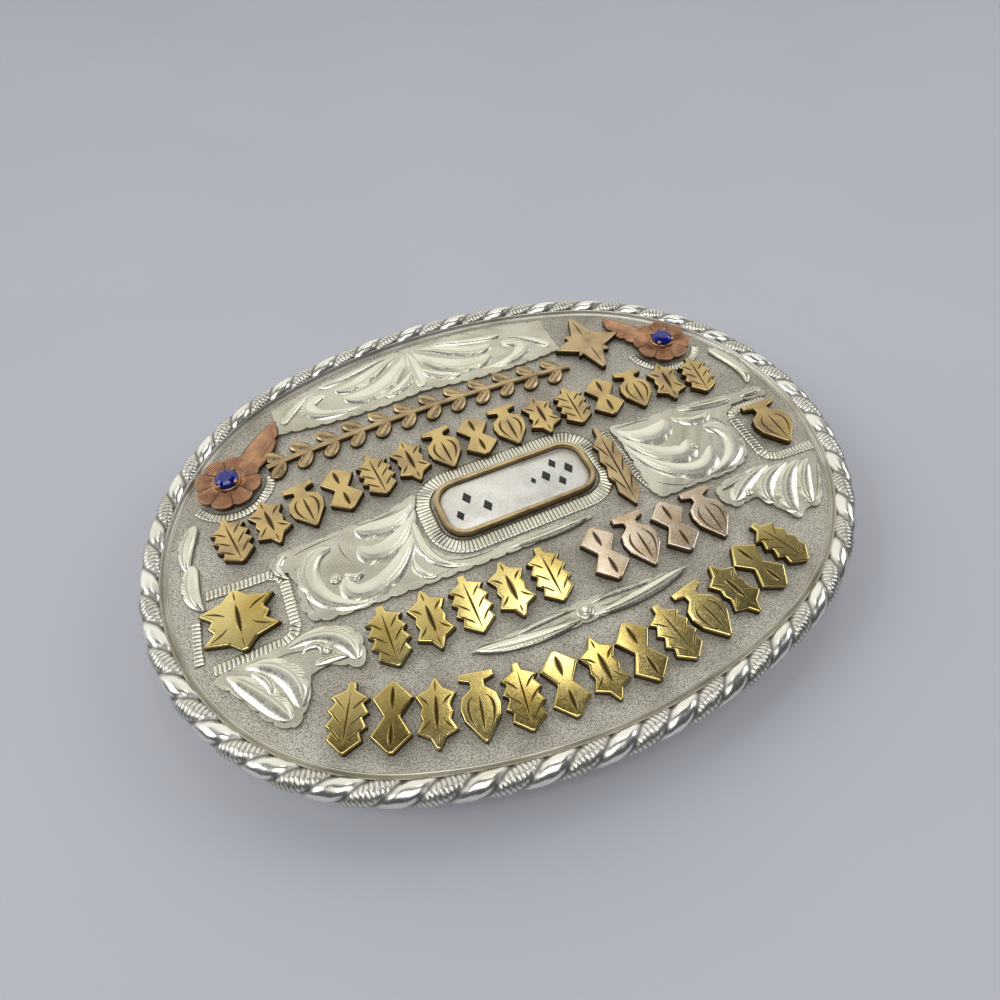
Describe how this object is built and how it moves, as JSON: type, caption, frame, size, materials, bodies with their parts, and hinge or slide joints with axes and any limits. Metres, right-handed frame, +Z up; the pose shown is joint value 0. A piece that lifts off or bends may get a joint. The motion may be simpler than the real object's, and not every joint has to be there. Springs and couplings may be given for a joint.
{
  "type": "western trophy buckle",
  "caption": "Oval western trophy belt buckle with a twisted rope edge, raised ornaments, two stones, and a belt loop and hook on its back.",
  "frame": {"origin": "on the surface that the buckle lies on, under the middle of its bounding box", "axes": "+X along the belt from the loop to the hook, +Y the buckle's top edge, +Z up, out of the face"},
  "size_m": [0.0998, 0.077, 0.0099],
  "materials": {
    "frosted_silver": "frosted nickel silver with a tarnished border",
    "polished_silver": "polished nickel silver wire",
    "engraved_silver": "bright-cut engraved silver overlay",
    "gold_bronze": "gold-coloured bronze, worn at the edges",
    "rose_bronze": "rose bronze, worn",
    "aged_bronze": "aged gold-coloured bronze",
    "dull_bronze": "dull brown bronze",
    "copper": "copper, engraved",
    "blue_glass": "cut blue glass stone"
  },
  "bodies": {
    "root": {"base_plate": "frosted_silver", "rope_smooth_strand": "polished_silver", "rope_wrapped_strand": "polished_silver", "arch_ornament_01": "gold_bronze", "arch_ornament_02": "gold_bronze", "arch_ornament_03": "gold_bronze", "arch_ornament_04": "gold_bronze", "arch_ornament_05": "gold_bronze", "arch_ornament_06": "gold_bronze", "arch_ornament_07": "gold_bronze", "arch_ornament_08": "gold_bronze", "arch_ornament_09": "gold_bronze", "arch_ornament_10": "gold_bronze", "arch_ornament_11": "gold_bronze", "arch_ornament_12": "gold_bronze", "arch_ornament_13": "gold_bronze", "rose_ornament_1": "rose_bronze", "rose_ornament_2": "rose_bronze", "rose_ornament_3": "rose_bronze", "rose_ornament_4": "rose_bronze", "gold_ornament_1": "gold_bronze", "gold_ornament_2": "gold_bronze", "gold_ornament_3": "gold_bronze", "gold_ornament_4": "gold_bronze", "gold_ornament_5": "gold_bronze", "long_row_ornament_01": "aged_bronze", "long_row_ornament_02": "aged_bronze", "long_row_ornament_03": "aged_bronze", "long_row_ornament_04": "aged_bronze", "long_row_ornament_05": "aged_bronze", "long_row_ornament_06": "aged_bronze", "long_row_ornament_07": "aged_bronze", "long_row_ornament_08": "aged_bronze", "long_row_ornament_09": "aged_bronze", "long_row_ornament_10": "aged_bronze", "long_row_ornament_11": "aged_bronze", "long_row_ornament_12": "aged_bronze", "long_row_ornament_13": "aged_bronze", "long_row_ornament_14": "aged_bronze", "long_row_ornament_15": "aged_bronze", "leaf_strip": "dull_bronze", "left_end_ornament": "gold_bronze", "right_end_ornament": "gold_bronze", "feather_ornament": "dull_bronze", "compass_star": "dull_bronze", "centre_frame": "dull_bronze", "centre_ground": "engraved_silver", "upper_left_leaves": "engraved_silver", "upper_right_leaves": "engraved_silver", "left_scroll": "engraved_silver", "right_scroll": "engraved_silver", "slim_leaf_bar": "engraved_silver", "bottom_panel": "engraved_silver", "left_flower": "copper", "right_flower": "copper", "left_stone": "blue_glass", "right_stone": "blue_glass", "belt_loop": "polished_silver", "belt_hook": "polished_silver"}
  },
  "joints": []
}
